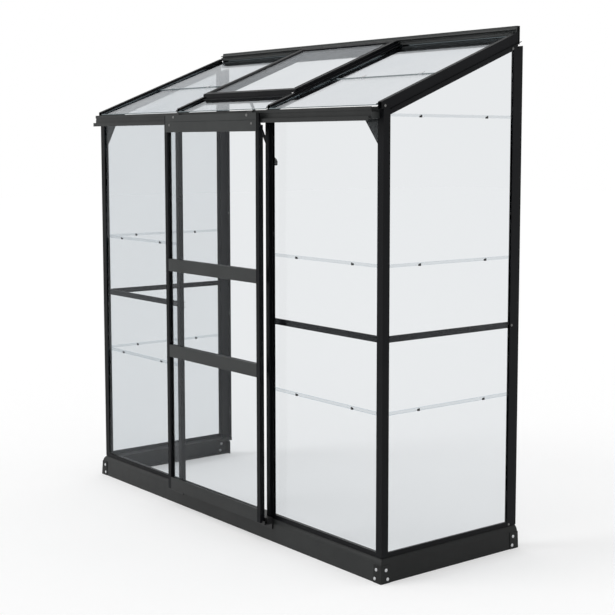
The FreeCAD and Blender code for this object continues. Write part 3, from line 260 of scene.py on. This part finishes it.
def node_material(node):
    """The finish of each carried-over solid, by its name."""
    if node == "glass_vent":
        return GLASS_VENT
    if node.startswith("glass_roof"):
        return GLASS_ROOF
    if node.startswith("glass_side"):
        return GLASS_SIDE
    if node.startswith("glass"):
        return GLASS_FRONT
    if node.startswith("door_wheel_axles"):
        return DULL
    if node.startswith(("door_wheel", "door_guides")):
        return NYLON
    # Below, the side sills and brackets get the copy with painted shade, and the front-facing parts get the
    # copies with painted light
    if node in ("sill_left", "sill_right") or node.startswith("corner_bracket"):
        return SHADED_SILL_COAT
    if node in ("sill_front", "door_rail_bottom", "eave_gutter"):
        return LIT_PLINTH_COAT
    if node.startswith(("door_rail", "door_header", "gutter", "gusset", "ridge")):
        return LIT_BLACK_COAT
    return BLACK


for node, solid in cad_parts.items():
    solid.data.materials.clear()
    solid.data.materials.append(node_material(node))
    for face in solid.data.polygons:
        face.use_smooth = False


# Mesh code that the fittings share

def add_piece(name, mesh_data, material, body):
    """Finishes a bmesh as a piece that rides on a body."""
    mesh = bpy.data.meshes.new(name)
    mesh_data.to_mesh(mesh)
    mesh_data.free()
    mesh.materials.append(material)
    piece = bpy.data.objects.new(name, mesh)
    bpy.context.scene.collection.objects.link(piece)
    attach(piece, body)


def behind_front(x, depth, z):
    """A place given by its distance from the middle, behind the plinth's front and up."""
    return Vector((x, FRONT + depth, z))


def seat(place, normal):
    """The matrix that sets a fitting drawn along +Z on a place, along the normal."""
    turn = Vector((0, 0, 1)).rotation_difference(Vector(normal))
    return Matrix.Translation(place) @ turn.to_matrix().to_4x4()


def lathe(mesh_data, profile, matrix, segments=20):
    """Adds a solid of revolution: (radius, height) pairs from the foot up to the middle."""
    rings = []
    for radius, height in profile:
        ring = []
        for step in range(segments):
            angle = 2 * math.pi * step / segments
            point = Vector((radius * math.cos(angle), radius * math.sin(angle), height))
            ring.append(mesh_data.verts.new(matrix @ point))
        rings.append(ring)
    for low, high in zip(rings, rings[1:]):
        for step in range(segments):
            after = (step + 1) % segments
            face = mesh_data.faces.new((low[step], low[after], high[after], high[step]))
            face.smooth = True
    mesh_data.faces.new(reversed(rings[0]))
    mesh_data.faces.new(rings[-1])


def prism(mesh_data, near, far):
    """Adds a solid between two outlines that have the same number of points."""
    first, last = [[mesh_data.verts.new(point) for point in outline] for outline in (near, far)]
    mesh_data.faces.new(first)
    mesh_data.faces.new(reversed(last))
    for step in range(len(first)):
        after = (step + 1) % len(first)
        mesh_data.faces.new((first[after], first[step], last[step], last[after]))
    bmesh.ops.recalc_face_normals(mesh_data, faces=mesh_data.faces)


def rounded_slab(mesh_data, low, high, radius):
    """Adds an upright block with rounded edges."""
    centre = (Vector(low) + Vector(high)) / 2
    size = Vector(high) - Vector(low)
    verts = bmesh.ops.create_cube(mesh_data, size=1.0)["verts"]
    for vert in verts:
        vert.co = vert.co * size + centre
    edges = {edge for vert in verts for edge in vert.link_edges}
    bmesh.ops.bevel(mesh_data, geom=list(edges), offset=radius, segments=2, affect="EDGES")


# Bolts and nuts

# Radii of the bolt heads
PLINTH_BOLT = 0.0045
HEADER_BOLT = 0.0038
FRAME_BOLT = 0.0035
GABLE_BOLT = 0.0036
NUT_RADIUS = 0.005
NUT_HEIGHT = 0.0035
# Sheet of a bracket and of the plinth together, which a bolt goes through
NUT_SEAT = 0.0045
# Height and distance from the corner of the two bolts in a leg of a plinth bracket
BRACKET_BOLTS = ((0.046, 0.028), (0.014, 0.034))
# How much nearer the corners the bolts on the sides are than those on the front
FRONT_CORNER_SHIFT = 0.003
REAR_CORNER_SHIFT = 0.002
# Upward part of the plinth's outward direction, since its face leans back
PLINTH_TILT = 0.05
HEADER_BOLT_OUT = 0.283
HEADER_BOLT_RISE = 0.028
# Bolts on the wall posts: how far behind the post's front, and the lowest one's height over the plinth
POST_BOLT_BACK = 0.009
POST_BOLT_RISE = 0.006
# Place along the gable rafter and depth under the roof plane of its two bolts
GABLE_BOLTS = ((WALL_POST[0].y - 0.005, 0.045), (CORNER_POST[0].y + 0.007, 0.018))


def button_bolt(mesh_data, place, normal, radius):
    """Washer and domed head with a socket, seated on a face."""
    washer = [(1.35, 0), (1.35, 0.0006), (1.0, 0.0008)]
    head = [(1.0, 0.0007), (1.0, 0.0012), (0.93, 0.0020), (0.78, 0.0027), (0.55, 0.0031),
            (0.42, 0.0031), (0.40, 0.0016)]
    for profile in (washer, head):
        lathe(mesh_data, [(radius * share, height) for share, height in profile], seat(place, normal))


def nut(mesh_data, place, normal):
    """Hexagon nut on a washer, with the bolt's end standing proud."""
    washer = [(1.3, 0), (1.3, 0.0008), (0.8, 0.0009)]
    hexagon = [(1.0, 0.0006), (1.0, NUT_HEIGHT), (0.9, NUT_HEIGHT + 0.0004)]
    bolt_end = [(0.5, NUT_HEIGHT), (0.5, NUT_HEIGHT + 0.003), (0.4, NUT_HEIGHT + 0.0035)]
    for profile, segments in ((washer, 20), (hexagon, 6), (bolt_end, 12)):
        lathe(mesh_data, [(NUT_RADIUS * share, height) for share, height in profile],
              seat(place, normal), segments)


def bolt_row(name, bolts, radius, material, body):
    """One piece for all bolts given as (place, normal)."""
    heads = bmesh.new()
    for place, normal in bolts:
        button_bolt(heads, place, normal, radius)
    add_piece(name, heads, material, body)


def bracket_bolts():
    """Place and outward direction of the bolts in every plinth bracket, on its leaning face."""
    bolts = []
    for height, inset in BRACKET_BOLTS:
        lean = PLINTH_LEAN * height / BRACKET_TOP
        for side in SIDES:
            bolts.append((behind_front(side * (HALF_LENGTH - inset), lean, height), Vector((0, -1, 0))))
            for depth in (inset - FRONT_CORNER_SHIFT, WALL - FRONT - inset + REAR_CORNER_SHIFT):
                bolts.append((behind_front(side * (HALF_LENGTH - lean), depth, height), Vector((side, 0, 0))))
    return bolts


def plinth_bolts():
    """Bolt heads on the outside of the plinth brackets."""
    tilt = Vector((0, 0, PLINTH_TILT))
    bolts = [(place, out + tilt) for place, out in bracket_bolts()]
    bolt_row("plinth_bolt_heads", bolts, PLINTH_BOLT, ZINC, "house")


def header_bolts():
    """Outer fixings of the door's cover plate."""
    height = HEADER[0].z + HEADER_BOLT_RISE
    bolts = [((side * HEADER_BOLT_OUT, HEADER[0].y, height), (0, -1, 0)) for side in SIDES]
    bolt_row("header_bolt_heads", bolts, HEADER_BOLT, DULL, "door")


def frame_bolts():
    """Bolts on the wall posts, at the side rails and at the posts' feet."""
    y = WALL_POST[0].y + POST_BOLT_BACK
    rail = (SIDE_RAIL[0].z + SIDE_RAIL[1].z) / 2
    bolts = []
    for side in SIDES:
        for height in (rail, SILL_TOP + POST_BOLT_RISE):
            bolts.append(((side * CORNER_POST[1].x, y, height), (side, 0, 0)))
    bolt_row("frame_bolt_heads", bolts, FRAME_BOLT, DULL, "house")


def plinth_nuts():
    """Nuts of the bracket bolts, on the inside of the plinth."""
    nuts = bmesh.new()
    for place, out in bracket_bolts():
        nut(nuts, place - out * NUT_SEAT, -out)
    add_piece("plinth_nuts", nuts, ZINC, "house")


def roof_bolts():
    """Bolts that hold the gable rafters to the wall posts and the corner posts."""
    bolts = []
    for side in SIDES:
        for y, depth in GABLE_BOLTS:
            bolts.append(((side * CORNER_POST[1].x, y, roof_z(y, depth)), (side, 0, 0)))
    bolt_row("roof_bolt_heads", bolts, GABLE_BOLT, DULL, "house")


# Fittings of the glass

# A clip's sheet, how far it reaches in behind the pane's face, and its gaps on the face and under the foot
CLIP_SHEET = 0.0008
CLIP_REACH = 0.0046
CLIP_GAP = 0.0002
CLIP_DROP = 0.0008
# Share of its height that a clip comes up again on the inside
CLIP_RETURN = 0.6
# Width and height of the clips on the walls and on the roof
WALL_CLIP = 0.0075
ROOF_CLIP = 0.016
# Clips of each lap: from the middle on the front and the roof, behind the plinth's front at the side
FRONT_CLIPS = (0.470, 0.786)
SIDE_CLIPS = (0.185, 0.501)
ROOF_CLIPS = (0.513, 0.825)
BEAD_SHEET = 0.0018
BEAD_HEIGHT = 0.016
BEAD_GAP = 0.0004
BEAD_END = 0.001
BEAD_ROUND = 0.0004
SEAL_GAP = 0.0001
SEAL_END = 0.002
# Height over the roof plane and width of the seal's foot on the pane and of its top
SEAL_FOOT = (0.0073, 0.007)
SEAL_TOP = (0.0118, 0.005)


def hook(width, grown):
    """A clip's line round the foot of a pane, (out, up), grown outwards by a distance."""
    front = CLIP_GAP + grown
    back = -CLIP_REACH - grown
    foot = -CLIP_DROP - grown
    return [(front, width), (front, foot), (back, foot), (back, width * CLIP_RETURN)]


def clip(mesh_data, place, along, out, up, width):
    """A lap clip: a strip that hooks round the foot of the upper pane."""
    outline = hook(width, 0.0) + hook(width, CLIP_SHEET)[::-1]
    ends = []
    for shift in (-width / 2, width / 2):
        start = Vector(place) + Vector(along) * shift
        ends.append([start + Vector(out) * u + Vector(up) * v for u, v in outline])
    prism(mesh_data, *ends)


def lap_clips():
    """Clips at every lap: those on the walls in black nylon as painted shade, for how dark the metal clips
    show against the light behind them, and bright zinc ones on the roof.
    """
    dark = bmesh.new()
    bright = bmesh.new()
    low_lap, high_lap, top_lap = [FIRST_LAP + LAP_STEP * step for step in range(3)]
    lap_y = FRONT + ROOF_LAP
    for side in SIDES:
        for x in FRONT_CLIPS:
            for z in (low_lap, high_lap):
                clip(dark, (side * x, FRONT_PANE[0].y, z), (1, 0, 0), (0, -1, 0), (0, 0, 1), WALL_CLIP)
        for depth in SIDE_CLIPS:
            for z in (low_lap, high_lap, top_lap):
                place = behind_front(side * SIDE_PANE[1].x, depth, z)
                clip(dark, place, (0, 1, 0), (side, 0, 0), (0, 0, 1), WALL_CLIP)
        for x in ROOF_CLIPS:
            place = (side * x, lap_y, roof_z(lap_y, ROOF_SLOT))
            clip(bright, place, (1, 0, 0), ROOF_NORMAL, ROOF_SLOPE, ROOF_CLIP)
    # The wall clips' black nylon is painted shade; they are metal clips like those on the roof
    add_piece("wall_lap_clips_painted_shade", dark, NYLON, "house")
    add_piece("roof_lap_clips", bright, ZINC, "house")


def base_beads():
    """Snap-on beads that hold the foot of the lowest panes on the plinth."""
    beads = bmesh.new()
    top = SILL_TOP + BEAD_HEIGHT
    front = FRONT_PANE[0].y - BEAD_GAP
    flank = SIDE_PANE[1].x + BEAD_GAP
    for side in SIDES:
        low, high = sorted((side * (FRONT_PANE[0].x + BEAD_END), side * (FRONT_PANE[1].x - BEAD_END)))
        rounded_slab(beads, (low, front - BEAD_SHEET, SILL_TOP), (high, front, top), BEAD_ROUND)
        low, high = sorted((side * flank, side * (flank + BEAD_SHEET)))
        rounded_slab(beads, (low, SIDE_PANE[0].y + BEAD_END, SILL_TOP),
                     (high, SIDE_PANE[1].y - BEAD_END, top), BEAD_ROUND)
    add_piece("base_beads", beads, BLACK, "house")


def vent_seals():
    """Rubber strips that bed the vent's pane against its side members."""
    seals = bmesh.new()
    inner = VENT_SIDE[0].x
    (foot, foot_width), (top, top_width) = SEAL_FOOT, SEAL_TOP
    outline = [(inner - foot_width, foot), (inner - SEAL_GAP, foot),
               (inner - SEAL_GAP, top), (inner - top_width, top)]
    for side in SIDES:
        ends = []
        for y in (VENT_SIDE[0].y + SEAL_END, VENT_SIDE[1].y - SEAL_END):
            ends.append([(side * x, y, roof_z(y, -height)) for x, height in outline])
        prism(seals, *ends)
    add_piece("vent_seals", seals, RUBBER, "vent")


# Grip on the vent's stay

GRIP_WIDTH = 0.019
GRIP_ROUND = 0.0008
# The grip's outline: behind the stay's middle line and down from its pin
GRIP = ((-0.002, 0.262), (0.003, 0.262), (0.0105, 0.281), (0.0105, 0.291), (0.004, 0.302), (-0.002, 0.302))


def stay_grip():
    """Moulded grip on the hooked foot of the vent's stay."""
    grip = bmesh.new()
    pin = Vector((0, STAY[0].y + STAY_EYE, STAY[1].z - STAY_EYE))
    lean = PITCH + STAY_LEAN
    down = Vector((0, math.sin(lean), -math.cos(lean)))
    back = Vector((0, math.cos(lean), math.sin(lean)))
    ends = []
    for x in (-GRIP_WIDTH / 2, GRIP_WIDTH / 2):
        ends.append([pin + back * u + down * v + Vector((x, 0, 0)) for u, v in GRIP])
    prism(grip, *ends)
    bmesh.ops.bevel(grip, geom=list(grip.edges), offset=GRIP_ROUND, segments=2, affect="EDGES")
    add_piece("stay_grip", grip, NYLON, "stay")


plinth_bolts()
header_bolts()
frame_bolts()
plinth_nuts()
roof_bolts()
lap_clips()
base_beads()
vent_seals()
stay_grip()


# Stage, light and camera

# The camera's fit to the photo, its place measured from the plinth's left front corner
CAMERA_FROM_CORNER = Vector((5.16949, -2.82894, 1.48743))
CAMERA_AZIMUTH = math.radians(51.55)
CAMERA_ELEVATION = math.radians(5.80)
CAMERA_ROLL = math.radians(0.02)
# Its sensor in millimetres, and its picture, focal length and centre in pixels
SENSOR_WIDTH = 36
IMAGE_SIZE = 615
FOCAL_PIXELS = 1303.2
CENTRE_PIXEL = (321.8, 277.2)

SUN_STRENGTH = 0.7
SUN_SPREAD = math.radians(25)
SUN_FROM = Vector((-0.45, -0.72, 0.80))
WORLD_LIGHT = 0.8
FLOOR_REACH = 30
FLOOR_GREY = 0.72
FLOOR_ROUGHNESS = 0.9
FLOOR_LIFT = 0.32


def add_camera():
    """The photo's view, with the lens's centre shifted as the photo has it."""
    data = bpy.data.cameras.new("camera")
    data.sensor_width = SENSOR_WIDTH
    data.lens = FOCAL_PIXELS * SENSOR_WIDTH / IMAGE_SIZE
    data.shift_x = (IMAGE_SIZE / 2 - CENTRE_PIXEL[0]) / IMAGE_SIZE
    data.shift_y = (CENTRE_PIXEL[1] - IMAGE_SIZE / 2) / IMAGE_SIZE
    place = Matrix.Translation(Vector((-HALF_LENGTH, FRONT, 0)) + CAMERA_FROM_CORNER)
    turn = Matrix.Rotation(CAMERA_AZIMUTH, 4, "Z")
    tilt = Matrix.Rotation(math.pi / 2 - CAMERA_ELEVATION, 4, "X")
    roll = Matrix.Rotation(CAMERA_ROLL, 4, "Z")
    camera = bpy.data.objects.new("camera", data)
    camera.matrix_world = place @ turn @ tilt @ roll
    bpy.context.scene.collection.objects.link(camera)
    bpy.context.scene.camera = camera


def seen_rays(tree):
    """1 for camera and mirror rays, which show the plain backdrop."""
    path = tree.nodes.new("ShaderNodeLightPath").outputs
    return reckon(tree, "MAXIMUM", path["Is Camera Ray"], path["Is Glossy Ray"])


def add_floor():
    """A pale floor that is lifted to white where it is seen and still takes the shadow."""
    reach = FLOOR_REACH
    corners = [(-reach, -reach, 0), (reach, -reach, 0), (reach, reach, 0), (-reach, reach, 0)]
    mesh = bpy.data.meshes.new("floor")
    mesh.from_pydata(corners, [], [(0, 1, 2, 3)])
    material, tree, shader = new_material("floor_white")
    shader.inputs["Base Color"].default_value = (FLOOR_GREY, FLOOR_GREY, FLOOR_GREY, 1)
    shader.inputs["Roughness"].default_value = FLOOR_ROUGHNESS
    shader.inputs["Specular IOR Level"].default_value = 0.0
    shader.inputs["Emission Color"].default_value = (1, 1, 1, 1)
    tree.links.new(spread(tree, seen_rays(tree), 0.0, FLOOR_LIFT), shader.inputs["Emission Strength"])
    mesh.materials.append(material)
    floor = bpy.data.objects.new("floor", mesh)
    bpy.context.scene.collection.objects.link(floor)


def add_world():
    """White backdrop where it is seen, and a plain even light from it."""
    world = bpy.data.worlds.new("studio")
    world.use_nodes = True
    tree = world.node_tree
    back = tree.nodes["Background"]
    back.inputs["Color"].default_value = (1, 1, 1, 1)
    tree.links.new(spread(tree, seen_rays(tree), WORLD_LIGHT, 1.0), back.inputs["Strength"])
    bpy.context.scene.world = world


def add_sun():
    """Soft daylight from the front left, which leaves the right side darker."""
    data = bpy.data.lights.new("sun", "SUN")
    data.energy = SUN_STRENGTH
    data.angle = SUN_SPREAD
    light = bpy.data.objects.new("sun", data)
    light.rotation_euler = SUN_FROM.to_track_quat("Z", "Y").to_euler()
    bpy.context.scene.collection.objects.link(light)


add_camera()
add_floor()
add_world()
add_sun()
bpy.context.scene.view_settings.view_transform = "Standard"
